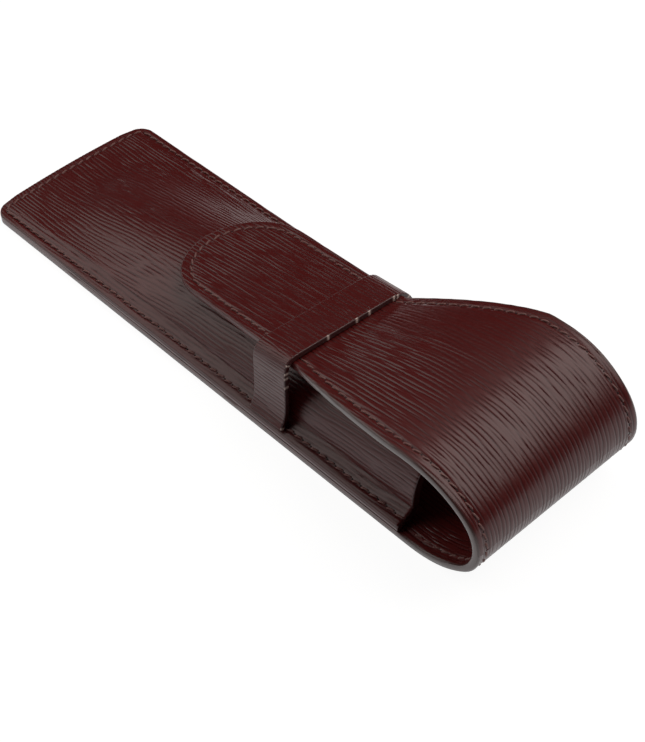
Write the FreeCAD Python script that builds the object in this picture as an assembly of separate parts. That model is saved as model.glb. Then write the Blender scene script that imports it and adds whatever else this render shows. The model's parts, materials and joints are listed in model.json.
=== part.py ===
import FreeCAD, Part
import math
import os

from FreeCAD import Matrix, Placement, Vector

os.makedirs("parts", exist_ok=True)

# Overall size of the closed case, lying on its back with the flap loop at +X
case_length = 160.0
case_width = 46.0
end_bow = 1.0
corner_radius = 4.5

# Skins of leather, from the outside in, and the board let into the back
outer_skin = 1.0
lining_skin = 0.8
board_thickness = 0.4
board_margin = 8.0

# The loop where the back turns up and over to become the flap
loop_height = 28.0
loop_middle = 13.5
lower_reach = 19.0
upper_reach = 18.5
lower_split = 35.0
upper_split = 45.0

# The pocket, a wedge that swells from the closed end to its mouth
mouth_setback = 21.7
swell_start = 10.0
cavity_start = 4.0
swell_power = 1.45
cavity_depth = 16.2
seam_allowance = 6.0
closed_squareness = 2.0
mouth_squareness = 2.8
squareness_power = 4.0

# The flap from the top of the loop to the strap
taper_start = 24.0
taper_power = 1.5
tongue_roll = 0.08
rest_gap = 0.65

# The tongue beyond the strap
tongue_width = 31.2
tip_setback = 108.1
tip_radius = 14.5
tip_shift = 1.0

# The strap that holds the tongue down
strap_setback = 61.2
strap_width = 9.8
strap_skin = 0.8
strap_lining_skin = 0.5
strap_gap = 0.8
strap_side_gap = 0.5
tongue_side_gap = 0.8
shoulder_radius = 3.0
foot_radius = 0.5
left_flex = 1.5
right_flex = 1.0

# Stitches
stitch_pitch = 2.5
stitch_length = 1.7
stitch_width = 0.5
stitch_height = 0.3
stitch_lift = 0.06
seam_inset = 1.5
flap_inset = 3.0

# How finely the swelling and tapering forms are sampled
swell_stations = 22
flap_stations = 13

# Places worked out from the sizes above
half_length = case_length / 2
half_width = case_width / 2
cavity_half_width = half_width - seam_allowance
strip_skin = outer_skin + lining_skin
seam_top = 2 * strip_skin
mouth_x = half_length - mouth_setback
swell_x = -half_length + swell_start
swell_length = mouth_x - swell_x
strap_x = half_length - strap_setback
strap_left = strap_x - strap_width / 2
strap_right = strap_x + strap_width / 2
strap_total = strap_skin + strap_lining_skin
strap_half = cavity_half_width + strip_skin + strap_side_gap + strap_total
crown_x = half_length - upper_reach
full_width_x = half_length - taper_start
tip_x = half_length - tip_setback
tip_centre_x = tip_x + tip_radius
front_end_x = strap_right + right_flex
tongue_end_x = strap_left - left_flex
tongue_near = -(strap_half - strap_total - tongue_side_gap)
tongue_far = tongue_near + tongue_width


def swell(u):
    """Height of the cavity at the share u of the way from its closed end to the mouth."""
    return cavity_depth * (1 - (1 - u) ** swell_power)


def pocket_top(x):
    """Height of the pocket's crown at x."""
    return seam_top + swell((x - swell_x) / swell_length)


# The tongue lies in a plane that touches down at the strap and at its tip
strap_rest_z = pocket_top(strap_x) + rest_gap + strip_skin
tip_rest_z = pocket_top(tip_x) + rest_gap + strip_skin
tongue_slope = (strap_rest_z - tip_rest_z) / (strap_x - tip_x)
tongue_pitch = math.hypot(1, tongue_slope)


def tongue_z(x, y):
    """Height of the tongue's top face."""
    return strap_rest_z + tongue_slope * (x - strap_x) - tongue_roll * y


def quarter_turn(forward, sideways, split):
    """Radii of two arcs that turn left by 90 degrees over the given reach, changing at split."""
    sine = math.sin(math.radians(split))
    cosine = math.cos(math.radians(split))
    scale = sine * cosine - (1 - sine) * (1 - cosine)
    first = (forward * cosine - sideways * (1 - sine)) / scale
    second = (sideways * sine - forward * (1 - cosine)) / scale
    return first, second


def turn_left(knot, radius, degrees):
    """The knot at the end of an arc that turns left from the given knot."""
    u, v, heading = knot
    after = heading + math.radians(degrees)
    u += radius * (math.sin(after) - math.sin(heading))
    v -= radius * (math.cos(after) - math.cos(heading))
    return u, v, after


def offset(knot, distance):
    """The point at a distance to the left of a knot."""
    u, v, heading = knot
    return u - distance * math.sin(heading), v + distance * math.cos(heading)


def path_edge(start, end, turn, place):
    """A straight edge, or the arc that turns left by turn, between two points of a plane."""
    if abs(turn) < 1e-9:
        return Part.LineSegment(place(*start), place(*end)).toShape()
    bulge = math.tan(turn / 4) / 2
    middle_u = (start[0] + end[0]) / 2 + (end[1] - start[1]) * bulge
    middle_v = (start[1] + end[1]) / 2 - (end[0] - start[0]) * bulge
    return Part.Arc(place(*start), place(middle_u, middle_v), place(*end)).toShape()


def ribbon(knots, first, second, place):
    """Closed outline of a skin that lies between two offsets of a path of lines and arcs."""
    edges = []
    for a, b in zip(knots, knots[1:]):
        edges.append(path_edge(offset(a, first), offset(b, first), b[2] - a[2], place))
    edges.append(path_edge(offset(knots[-1], first), offset(knots[-1], second), 0, place))
    back = knots[::-1]
    for a, b in zip(back, back[1:]):
        edges.append(path_edge(offset(a, second), offset(b, second), b[2] - a[2], place))
    edges.append(path_edge(offset(knots[0], second), offset(knots[0], first), 0, place))
    return Part.Wire(edges)


def on_near_side(u, v):
    return Vector(u, -half_width, v)


def strip(knots, first, second):
    """A skin of the long strip, as wide as the case."""
    face = Part.Face(ribbon(knots, first, second, on_near_side))
    return face.extrude(Vector(0, case_width, 0))


def slab(x0, x1, z0, z1):
    return Part.makeBox(x1 - x0, case_width, z1 - z0, Vector(x0, -half_width, z0))


# Path of the strip's outside: along the table, up round the loop and back over its top
lower_radii = quarter_turn(lower_reach, loop_middle, lower_split)
upper_radii = quarter_turn(loop_height - loop_middle, upper_reach, upper_split)
closed_knot = (-half_length, 0.0, 0.0)
lift_knot = (half_length - lower_reach, 0.0, 0.0)
lower_fold = turn_left(lift_knot, lower_radii[0], lower_split)
side_knot = turn_left(lower_fold, lower_radii[1], 90 - lower_split)
upper_fold = turn_left(side_knot, upper_radii[0], upper_split)
crown_knot = turn_left(upper_fold, upper_radii[1], 90 - upper_split)

back_path = [closed_knot, lift_knot, lower_fold]
bend_path = [lower_fold, side_knot, upper_fold]
crown_path = [upper_fold, crown_knot]


def closed_end_outline():
    """Prism that rounds the closed end's corners and bows its edge."""
    end_arc = Part.Arc(
        Vector(-half_length + end_bow, half_width, 0),
        Vector(-half_length, 0, 0),
        Vector(-half_length + end_bow, -half_width, 0),
    ).toShape()
    near = Vector(half_length, -half_width, 0)
    far = Vector(half_length, half_width, 0)
    sides = Part.makePolygon([end_arc.Vertexes[-1].Point, near, far, end_arc.Vertexes[0].Point])
    prism = Part.Face(Part.Wire([end_arc] + sides.Edges)).extrude(Vector(0, 0, loop_height))
    corners = []
    for edge in prism.Edges:
        upright = abs(edge.tangentAt(edge.FirstParameter).z) > 0.9
        if upright and edge.CenterOfMass.x < 0:
            corners.append(edge)
    return prism.makeFillet(corner_radius, corners)


def power(value, exponent):
    """A power that keeps its sign and gives zero for what is only rounding."""
    if abs(value) < 1e-9:
        return 0.0
    return math.copysign(abs(value) ** exponent, value)


def pocket_form(skin):
    """Swelling form of the pocket, grown outwards from the cavity by a skin.

    Each section is three arcs through points of a squared-off ellipse.
    """
    sections = []
    for i in range(swell_stations):
        x = swell_x + cavity_start + (swell_length - cavity_start) * i / (swell_stations - 1)
        u = (x - swell_x) / swell_length
        squareness = closed_squareness + (mouth_squareness - closed_squareness) * u ** squareness_power
        half = cavity_half_width + skin
        height = swell(u) + skin
        points = []
        for degrees in (0, 22.5, 45, 90, 135, 157.5, 180):
            side = power(-math.cos(math.radians(degrees)), 2 / squareness)
            rise = power(math.sin(math.radians(degrees)), 2 / squareness)
            points.append(Vector(x, half * side, strip_skin + height * rise))
        near_side = Part.Arc(points[0], points[1], points[2]).toShape()
        crown = Part.Arc(points[2], points[3], points[4]).toShape()
        far_side = Part.Arc(points[4], points[5], points[6]).toShape()
        base = Part.LineSegment(points[6], points[0]).toShape()
        sections.append(Part.Wire([near_side, crown, far_side, base]))
    return Part.makeLoft(sections, True, True)


def make_back(outline):
    """Back of the case: outer leather, stiffening board and lining."""
    board_near = -half_width + board_margin
    board = Part.makeBox(
        mouth_x - board_margin - (-half_length + board_margin),
        case_width - 2 * board_margin,
        board_thickness,
        Vector(-half_length + board_margin, board_near, outer_skin),
    )
    outer = strip(back_path, 0, outer_skin).common(outline)
    lining = strip(back_path, outer_skin, strip_skin).common(outline).cut(board)
    return {"back_outer": outer, "back_board": board, "back_lining": lining}


def make_pocket(outline):
    """Pocket front and its lining, each a swelling form with a flat seam allowance round it."""
    lining_top = strip_skin + lining_skin
    lining_seam = slab(-half_length, mouth_x, strip_skin, lining_top)
    outer_seam = slab(-half_length, mouth_x, lining_top, seam_top)
    cavity = pocket_form(0)
    lining_form = pocket_form(lining_skin)
    outer_form = pocket_form(strip_skin)
    outer = outer_seam.fuse(outer_form).cut(lining_seam).cut(lining_form).common(outline)
    lining = lining_seam.fuse(lining_form).cut(cavity).common(outline)
    return {"pocket_outer": outer, "pocket_lining": lining}


def strap_path(x):
    """Outside of the strap at x, from its near foot over the tongue to its far foot."""
    foot_z = seam_top + strap_total
    near_top = tongue_z(x, -strap_half) + strap_gap + strap_total
    far_y = tongue_far + strap_side_gap + strap_total
    far_top = tongue_z(x, far_y) + strap_gap + strap_total
    corners = [
        (-half_width, foot_z),
        (-strap_half, foot_z),
        (-strap_half, near_top),
        (far_y, far_top),
        (strap_half, foot_z),
        (half_width, foot_z),
    ]
    radii = [foot_radius, shoulder_radius, shoulder_radius, foot_radius]
    headings = []
    for a, b in zip(corners, corners[1:]):
        headings.append(math.atan2(b[1] - a[1], b[0] - a[0]))
    knots = [corners[0] + (headings[0],)]
    for corner, radius, before, after in zip(corners[1:], radii, headings, headings[1:]):
        run = radius * math.tan(abs(after - before) / 2)
        into = (corner[0] - run * math.cos(before), corner[1] - run * math.sin(before))
        out = (corner[0] + run * math.cos(after), corner[1] + run * math.sin(after))
        knots.append(into + (before,))
        knots.append(out + (after,))
    knots.append(corners[-1] + (headings[-1],))
    return knots


def strap_layer(first, second):
    """One skin of the strap, between its two edges."""
    wires = []
    for x in (strap_left, strap_right):
        wires.append(ribbon(strap_path(x), -first, -second, lambda u, v, x=x: Vector(x, u, v)))
    return Part.makeLoft(wires, True, True)


def make_strap():
    return {
        "strap_outer": strap_layer(0, strap_skin),
        "strap_lining": strap_layer(strap_skin, strap_total),
    }


def front_share(x):
    """Share of the flap's taper that is done at x."""
    run = (full_width_x - x) / (full_width_x - front_end_x)
    return min(1.0, max(0.0, run))


def front_edges(x):
    """Near and far edge of the flap between the loop and the strap."""
    narrowing = front_share(x) ** taper_power
    near = -half_width + (tongue_edge_near(front_end_x) + half_width) * narrowing
    far = half_width + (tongue_edge_far(front_end_x) - half_width) * narrowing
    return near, far


def front_z(x, y):
    """Top face of the flap: a smooth fall from the loop's crown to the plane of the tongue."""
    run = crown_x - front_end_x
    u = (crown_x - x) / run
    fall = u * u * (3 - 2 * u)
    end_z = tongue_z(front_end_x, 0)
    level = loop_height + (end_z - loop_height) * fall
    level -= tongue_slope * run * (u ** 3 - u ** 2)
    return level - tongue_roll * front_share(x) ** 2 * y


def front_layer(first, second):
    """One skin of the flap between the loop's crown and the strap."""
    sections = []
    step = (crown_x - front_end_x) / (flap_stations - 1)
    for i in range(flap_stations):
        x = crown_x - i * step
        near, far = front_edges(x)
        reach = step / 10
        pitch = math.hypot(1, (front_z(x + reach, 0) - front_z(x - reach, 0)) / (2 * reach))
        if i == 0:
            pitch = 1.0
        if i == flap_stations - 1:
            pitch = tongue_pitch
        corners = [
            Vector(x, near, front_z(x, near) - first * pitch),
            Vector(x, far, front_z(x, far) - first * pitch),
            Vector(x, far, front_z(x, far) - second * pitch),
            Vector(x, near, front_z(x, near) - second * pitch),
        ]
        sections.append(Part.makePolygon(corners + corners[:1]))
    return Part.makeLoft(sections, True, True)


def tongue_edge_near(x):
    """Near edge of the tongue, which draws in towards the tip."""
    share = (strap_right - x) / (strap_right - tip_centre_x)
    return tongue_near + (-tip_shift - tip_radius - tongue_near) * share


def tongue_edge_far(x):
    share = (strap_right - x) / (strap_right - tip_centre_x)
    return tongue_far + (-tip_shift + tip_radius - tongue_far) * share


def tongue_outline():
    """Upright prism on the outline of the tongue, with its round tip."""
    near_root = Vector(front_end_x, tongue_edge_near(front_end_x), 0)
    near_tip = Vector(tip_centre_x, -tip_shift - tip_radius, 0)
    far_tip = Vector(tip_centre_x, -tip_shift + tip_radius, 0)
    far_root = Vector(front_end_x, tongue_edge_far(front_end_x), 0)
    edges = [
        Part.LineSegment(near_root, near_tip).toShape(),
        Part.Arc(near_tip, Vector(tip_x, -tip_shift, 0), far_tip).toShape(),
        Part.LineSegment(far_tip, far_root).toShape(),
        Part.LineSegment(far_root, near_root).toShape(),
    ]
    return Part.Face(Part.Wire(edges)).extrude(Vector(0, 0, 2 * loop_height))


def tongue_layer(x0, x1, first, second, outline):
    """One skin of the tongue between two stations, cut to its outline."""
    corners = []
    for x, depth in ((x0, first), (x1, first), (x1, second), (x0, second)):
        z = tongue_z(x, -half_width) - depth * tongue_pitch
        corners.append(Vector(x, -half_width, z))
    face = Part.Face(Part.makePolygon(corners + corners[:1]))
    return face.extrude(Vector(0, case_width, -tongue_roll * case_width)).common(outline)


def make_flap():
    """The flap's two skins: round the loop, over the front, under the strap and the tongue."""
    outline = tongue_outline()
    layers = {}
    for name, first, second in (("outer", 0, outer_skin), ("lining", outer_skin, strip_skin)):
        layers["bend_" + name] = strip(bend_path, first, second)
        crown = strip(crown_path, first, second)
        layers["flap_" + name] = crown.fuse(front_layer(first, second)).removeSplitter()
        layers["under_strap_" + name] = tongue_layer(
            tongue_end_x, front_end_x, first, second, outline
        )
        layers["tongue_" + name] = tongue_layer(tip_x, tongue_end_x, first, second, outline)
    return layers


def stitch(point, along, normal):
    """One stitch lying on a surface."""
    side = normal.cross(along)
    solid = Part.makeBox(
        stitch_length,
        stitch_width,
        stitch_height,
        Vector(-stitch_length / 2, -stitch_width / 2, 0),
    )
    turn = Matrix(
        along.x, side.x, normal.x, point.x,
        along.y, side.y, normal.y, point.y,
        along.z, side.z, normal.z, point.z,
        0, 0, 0, 1,
    )
    solid.Placement = Placement(turn)
    return solid


def evenly(start, end, pitch):
    """Places at about one pitch apart, half a pitch in from both ends."""
    count = max(1, int(abs(end - start) / pitch))
    places = []
    for i in range(count):
        places.append(start + (end - start) * (i + 0.5) / count)
    return places


def seam_stitches(y):
    """Side seam, which steps up over the foot of the strap."""
    start = -half_length + corner_radius + end_bow
    stitches = []
    spans = (
        (start, strap_left, seam_top),
        (strap_left, strap_right, seam_top + strap_total),
        (strap_right, mouth_x, seam_top),
    )
    for x0, x1, z in spans:
        for x in evenly(x0, x1, stitch_pitch):
            stitches.append(stitch(Vector(x, y, z), Vector(1, 0, 0), Vector(0, 0, 1)))
    return stitches


def end_stitches():
    """Seam across the closed end, following its bow."""
    reach = half_width - corner_radius
    stitches = []
    for y in evenly(-reach, reach, stitch_pitch):
        x = -half_length + seam_inset + end_bow * (y / half_width) ** 2
        along = Vector(2 * end_bow * y / half_width ** 2, 1, 0).normalize()
        stitches.append(stitch(Vector(x, y, seam_top), along, Vector(0, 0, 1)))
    return stitches


def loop_stitches(knots):
    """Both edge seams on the outside of a curved stretch of the strip."""
    stitches = []
    for a, b in zip(knots, knots[1:]):
        turn = b[2] - a[2]
        chord = math.hypot(b[0] - a[0], b[1] - a[1])
        radius = chord / (2 * math.sin(turn / 2))
        for travel in evenly(0, radius * turn, stitch_pitch):
            x, z, heading = turn_left(a, radius, math.degrees(travel / radius))
            along = Vector(math.cos(heading), 0, math.sin(heading))
            normal = Vector(math.sin(heading), 0, -math.cos(heading))
            for y in (-half_width + flap_inset, half_width - flap_inset):
                stitches.append(stitch(Vector(x, y, z), along, normal))
    return stitches


def surface_stitch(height, x, y, along):
    """A stitch on a top face given by its height, pointing along a direction in plan."""
    reach = stitch_length / 4
    fall_x = (height(x + reach, y) - height(x - reach, y)) / (2 * reach)
    fall_y = (height(x, y + reach) - height(x, y - reach)) / (2 * reach)
    normal = Vector(-fall_x, -fall_y, 1).normalize()
    run = Vector(along[0], along[1], fall_x * along[0] + fall_y * along[1]).normalize()
    return stitch(Vector(x, y, height(x, y)), run, normal)


def front_seat(x, y):
    """Height of the flap's stitches, lifted clear of the facets of its top face."""
    return front_z(x, y) + stitch_lift


def front_stitches():
    """Both edge seams of the flap between the loop and the strap."""
    stitches = []
    for x in evenly(crown_x, front_end_x, stitch_pitch):
        near, far = front_edges(x)
        stitches.append(surface_stitch(front_seat, x, near + flap_inset, (1, 0)))
        stitches.append(surface_stitch(front_seat, x, far - flap_inset, (1, 0)))
    return stitches


def tongue_stitches(x0, x1):
    """Both edge seams of the tongue between two stations."""
    stitches = []
    for x in evenly(x0, x1, stitch_pitch):
        near = tongue_edge_near(x) + flap_inset
        far = tongue_edge_far(x) - flap_inset
        stitches.append(surface_stitch(tongue_z, x, near, (1, 0)))
        stitches.append(surface_stitch(tongue_z, x, far, (1, 0)))
    return stitches


def tip_stitches():
    """Seam round the tip of the tongue."""
    radius = tip_radius - flap_inset
    stitches = []
    for travel in evenly(0, math.pi * radius, stitch_pitch):
        angle = math.pi / 2 + travel / radius
        x = tip_centre_x + radius * math.cos(angle)
        y = -tip_shift + radius * math.sin(angle)
        stitches.append(surface_stitch(tongue_z, x, y, (-math.sin(angle), math.cos(angle))))
    return stitches


def make_thread():
    """Every run of thread, as the stitches that show on the outside."""
    seam_y = half_width - seam_inset
    # Stitches below the turn of the loop would lie against the table
    clear_of_table = turn_left(lift_knot, lower_radii[0], lower_split / 2)
    runs = {
        "near_seam_thread": seam_stitches(-seam_y),
        "far_seam_thread": seam_stitches(seam_y),
        "end_seam_thread": end_stitches(),
        "loop_thread": loop_stitches([clear_of_table, lower_fold]),
        "bend_thread": loop_stitches(bend_path),
        "flap_thread": loop_stitches(crown_path) + front_stitches(),
        "under_strap_thread": tongue_stitches(front_end_x, tongue_end_x),
        "tongue_thread": tongue_stitches(tongue_end_x, tip_centre_x) + tip_stitches(),
    }
    threads = {}
    for name, stitches in runs.items():
        threads[name] = Part.makeCompound(stitches)
    return threads


def main():
    outline = closed_end_outline()
    nodes = {}
    nodes.update(make_back(outline))
    nodes.update(make_pocket(outline))
    nodes.update(make_strap())
    nodes.update(make_flap())
    nodes.update(make_thread())
    for name, shape in nodes.items():
        shape.exportStep("parts/" + name + ".step")
    for label, knot in (("lower fold", lower_fold), ("upper fold", upper_fold)):
        print(label, "x", round(knot[0], 4), "z", round(knot[1], 4))


main()
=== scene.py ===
import json
import math

import bpy
import numpy as np
from bpy.props import FloatProperty, FloatVectorProperty, IntProperty, PointerProperty
from mathutils import Matrix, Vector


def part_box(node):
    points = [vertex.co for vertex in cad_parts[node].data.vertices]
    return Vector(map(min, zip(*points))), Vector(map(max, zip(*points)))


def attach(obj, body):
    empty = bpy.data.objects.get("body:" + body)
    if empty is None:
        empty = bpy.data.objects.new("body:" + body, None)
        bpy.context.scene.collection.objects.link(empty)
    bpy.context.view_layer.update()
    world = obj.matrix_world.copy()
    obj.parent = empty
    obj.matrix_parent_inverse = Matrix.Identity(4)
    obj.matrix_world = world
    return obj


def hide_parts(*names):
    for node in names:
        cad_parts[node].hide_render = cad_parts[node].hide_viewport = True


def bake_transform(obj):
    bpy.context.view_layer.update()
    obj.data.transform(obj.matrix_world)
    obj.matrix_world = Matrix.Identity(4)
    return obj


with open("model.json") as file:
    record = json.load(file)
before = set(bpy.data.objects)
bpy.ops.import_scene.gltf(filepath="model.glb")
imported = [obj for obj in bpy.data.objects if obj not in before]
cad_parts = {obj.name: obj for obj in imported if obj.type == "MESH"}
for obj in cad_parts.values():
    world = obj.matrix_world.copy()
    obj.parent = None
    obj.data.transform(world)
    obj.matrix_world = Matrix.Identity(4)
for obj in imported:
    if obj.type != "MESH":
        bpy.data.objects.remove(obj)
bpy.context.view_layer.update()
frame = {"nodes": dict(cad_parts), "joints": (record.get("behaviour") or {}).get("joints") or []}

bl_info = {
    "name": "Leather pen case",
    "version": (1, 0, 0),
    "blender": (4, 5, 0),
    "location": "3D View > Sidebar > Pen case",
    "description": "Builds the skins, strap and stitching of a ribbed leather pen case",
    "category": "Add Mesh",
}

# Places read from the frame, in metres
CLOSED_END_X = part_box("back_outer")[0].x
HALF_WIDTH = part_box("back_outer")[1].y
HALF_LENGTH = -CLOSED_END_X
MOUTH_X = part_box("pocket_outer")[1].x
POCKET_LENGTH = MOUTH_X - CLOSED_END_X
STRAP_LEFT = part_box("strap_outer")[0].x
STRAP_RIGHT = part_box("strap_outer")[1].x
STRAP_X = (STRAP_LEFT + STRAP_RIGHT) / 2
TONGUE_SHORTER = 0.0020
TIP_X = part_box("tongue_outer")[0].x + TONGUE_SHORTER
FRONT_END_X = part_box("under_strap_outer")[1].x
LOOP_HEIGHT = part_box("flap_outer")[1].z
JOINTS = {joint["name"]: joint for joint in frame["joints"]}
LOWER_FOLD = JOINTS["flap_open"]["pos_m"]
UPPER_FOLD = JOINTS["flap_roll"]["pos_m"]

# Where the strip bends as the flap opens: the lower bend starts before its fold line, and the upper one
# runs from the loop's side up and back over the flap's front
LOWER_BEND_REACH = 0.0155
UPPER_BEND_LEAN = math.radians(126.5)
UPPER_BEND_START = 0.0014
UPPER_BEND_END = 0.0294

# Mesh rows near an edge, in metres, and the angle from which an edge is sharp
EDGE_STEPS = np.array([0, 0.07, 0.2, 0.4, 0.7]) * 0.001
STRAP_EDGE_STEPS = np.array([0, 0.05, 0.13, 0.26, 0.45]) * 0.001
SEAM_STEPS = [0, 0.00007, 0.0002, 0.0004]
MOUTH_STEPS = np.array([0.0005, 0.00025, 0.0001, 0.0])
MOUTH_REACH = 0.0008
TIP_STEPS = np.concatenate([np.linspace(0, 0.95, 38)[1:], [0.965, 0.98, 0.99, 0.996, 1.0]])
CORNER_ROWS = 16
SEAM_ROWS = 22
STRAP_ROWS = 18
SHARP_ANGLE = math.radians(48)

# Leather near the edges: the closed end's bow fades over a length, the pocket's ribs are weaker in the
# band outside the seam, and the strip's paint and ribs change by where it lies
BOW_FADE = 0.02
BAND_RIBS = 0.7
BAND_START = 0.001
BAND_FADE = 0.002
LINING_ROUND = 0.7
LYING_RIBS = 0.4
LYING_END = 0.012
LYING_FADE = 0.004
LIP_FADE = 0.002
LIP_TRIM = 0.1
# The flap's edge paint fades out before the strap, so the tongue's cut edges stay dark: painted shade for
# the shadow line along them
FLAP_PAINT_FADE = 0.012
BACK_PAINT_START = 0.006
BACK_PAINT_FADE = 0.01
FAINT_PAINT = 0.3

# Shares of the edge's radius: the paint on the pocket and on the strap, and the lip of the mouth, which
# takes the groove's dark colour and no paint
PAINT_WIDTH = 0.6
LIP_WIDTH = 0.4

# The flap's ribs: shares of the groove depth at the upper fold, past the mouth, and at the strap's sides
RIB_SHARES = (0.9, 1.45, 1.4, 1.05)
RIB_PEAK = 0.02
STRAP_RIBS = 0.85

# How far before the loop's side the seam starts, inside the loop and outside it
INSIDE_SEAM = 0.026
OUTSIDE_SEAM = 0.018

# The camera: its turn round the case, its place in metres and its lens in millimetres
CAMERA_AZIMUTH = math.radians(49.233)
CAMERA_ELEVATION = math.radians(46.33)
CAMERA_ROLL = math.radians(-3.155)
CAMERA_PLACE = (0.20917, -0.17030, 0.26966)
CAMERA_LENS = 82.94
SENSOR_WIDTH = 36.0

# Lamps: name, place, size and share of the brightness, with one warm colour
LAMPS = (
    ("loop_light", (0.15, 0.38, 0.57), (0.80, 0.70), 1.86),
    ("near_light", (-0.47, -0.24, 0.47), (0.78, 0.55), 1.16),
    ("low_card", (-0.40, -0.52, 0.13), (0.60, 0.25), 0.33),
)
LAMP_COLOUR = (1.0, 0.968, 0.925)
FLOOR_GREY = (0.85, 0.85, 0.85, 1.0)
FLOOR_GLOW = 1.1
FLOOR_WHITENESS = 0.85
WHITE = (1, 1, 1, 1)


def metres(name, description, default):
    """A length that a user can change."""
    return FloatProperty(name=name, description=description, default=default, unit="LENGTH")


def degrees(name, description, default):
    """An angle that a user can change."""
    return FloatProperty(name=name, description=description, default=default, subtype="ANGLE")


def ratio(name, description, default):
    """A plain number that a user can change."""
    return FloatProperty(name=name, description=description, default=default)


def whole(name, description, default):
    """A whole number that a user can change."""
    return IntProperty(name=name, description=description, default=default)


def tint(name, description, default):
    """A colour that a user can change."""
    return FloatVectorProperty(name=name, description=description, default=default, subtype="COLOR")


class CaseSizes(bpy.types.PropertyGroup):
    """Sizes of the case's leather"""

    outer_skin: metres("Outer leather", "Thickness of the outer leather", 0.001)
    lining_skin: metres("Lining", "Thickness of the lining", 0.0008)
    corner: metres("Corner", "Radius of the closed end's corners", 0.0038)
    bow: metres("Bow", "How far the closed end bows out", 0.001)
    lower_reach: metres("Lower reach", "Length of the loop's rise off the table", 0.019)
    upper_reach: metres("Upper reach", "Length of the loop's top quarter", 0.0185)
    loop_middle: metres("Loop middle", "Height of the loop's furthest point", 0.0135)
    lower_split: degrees("Lower split", "Turn at the lower fold line", math.radians(35))
    upper_split: degrees("Upper split", "Turn at the upper fold line", math.radians(45))
    taper_start: metres("Taper start", "Where the flap starts to narrow, from the loop", 0.024)
    taper_power: ratio("Taper power", "How slowly the narrowing starts", 1.15)
    tongue_near: metres("Tongue near", "Near edge of the tongue at the strap", -0.0185)
    tongue_far: metres("Tongue far", "Far edge of the tongue at the strap", 0.0131)
    tip_radius: metres("Tip radius", "Radius of the tongue's tip", 0.0154)
    tip_shift: metres("Tip shift", "How far the tip lies to the near side", 0.0001)
    tongue_roll: ratio("Roll", "Lean of the tongue to the far side", 0.08)
    tip_roll: ratio("Tip roll", "Share of the lean left at the tongue's tip", 0.35)
    loop_roll: ratio("Loop roll", "Lean of the loop's crown to the near side", 0.05)
    roll_reach: metres("Roll reach", "Length past the loop's side over which the lean sets in", 0.024)
    rest_gap: metres("Rest gap", "Air between the tongue and the pocket", 0.00065)
    tongue_skive: ratio("Tongue skive", "Share of the thickness pared away at the tongue's tip", 0.25)
    fullness: metres("Fullness", "How far the flap swells above a plain fall", 0.0014)
    edge_round: metres("Edge round", "Radius of the painted edges", 0.00045)


class PocketSizes(bpy.types.PropertyGroup):
    """Sizes of the swelling pocket"""

    half: metres("Half width", "Half width of the pocket's outside", 0.0188)
    depth: metres("Depth", "Depth of the cavity at the mouth", 0.0162)
    swell_start: metres("Swell start", "Where the swelling starts, from the closed end", 0.010)
    swell_power: ratio("Swell power", "How soon the pocket swells", 1.45)
    closed_squareness: ratio("Closed squareness", "Power of the section at the closed end", 2.0)
    dome_start: ratio("Dome start", "Share of the length that is a plain dome", 0.1)
    dome_length: ratio("Dome length", "Share of the length over which the dome turns square", 0.45)
    mouth_squareness: ratio("Mouth squareness", "Power of the section at the mouth", 2.8)
    foot_round: metres("Foot round", "Softness of the turn into the seam", 0.0046)
    tilt: ratio("Tilt", "How much the seam allowance falls towards the edge", 0.3)
    end_ramp: metres("End ramp", "Length over which the closed end rises", 0.018)
    skive: ratio("Skive", "Share of the thickness pared away at the closed end", 0.62)
    skive_length: metres("Skive length", "Length over which it is pared", 0.07)


class StrapSizes(bpy.types.PropertyGroup):
    """Sizes of the strap"""

    skin: metres("Leather", "Thickness of the strap's leather", 0.0008)
    lining: metres("Lining", "Thickness of the strap's lining", 0.0005)
    gap: metres("Gap", "Air between the strap and the tongue", 0.0003)
    side_gap: metres("Side gap", "Air between the strap and the tongue's far edge", 0.0002)
    shoulder: metres("Shoulder", "Softness of the strap's bends", 0.0025)


class GrainSizes(bpy.types.PropertyGroup):
    """The leather's ribs"""

    pitch: metres("Rib pitch", "Mean distance between ribs", 0.00098)
    depth: metres("Groove depth", "Depth of the grooves between ribs", 0.00011)
    spread: ratio("Spread", "How much the pitch varies", 0.18)
    wander: metres("Wander", "Length over which a rib wanders by one pitch", 0.020)
    sharpness: ratio("Sharpness", "How narrow the grooves are", 3.2)
    waves: whole("Waves", "Number of waves added up", 16)
    # Painted glints: light spots on the strap's cut edge that stand in for highlights on its raw fibres
    worn_count: whole("Painted glint spots", "Number of worn places on the strap's cut edge", 16)
    worn_seed: whole("Painted glint seed", "Draw of the worn places", 4)
    worn_size: metres("Worn size", "Reach of a worn place along the edge", 0.0003)
    fine_step: metres("Fine step", "Mesh step across the ribs", 0.00015)
    round_step: metres("Round step", "Mesh step round the pocket", 0.0002)
    long_step: metres("Long step", "Mesh step along the ribs", 0.0013)


class StitchSizes(bpy.types.PropertyGroup):
    """The seams"""

    pitch: metres("Pitch", "Distance between needle holes", 0.0025)
    length: metres("Length", "Length of thread that shows", 0.0022)
    radius: metres("Radius", "Radius of the thread", 0.00024)
    slant: degrees("Slant", "Turn of each stitch from the seam", math.radians(14))
    seam_inset: metres("Seam inset", "Side seam from the edge", 0.0019)
    flap_inset: metres("Flap inset", "Flap seam from the edge", 0.0024)
    groove_depth: metres("Groove depth", "How far the seam is drawn in", 0.00018)
    groove_width: metres("Groove width", "Half width of the drawn-in line", 0.00055)


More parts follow.
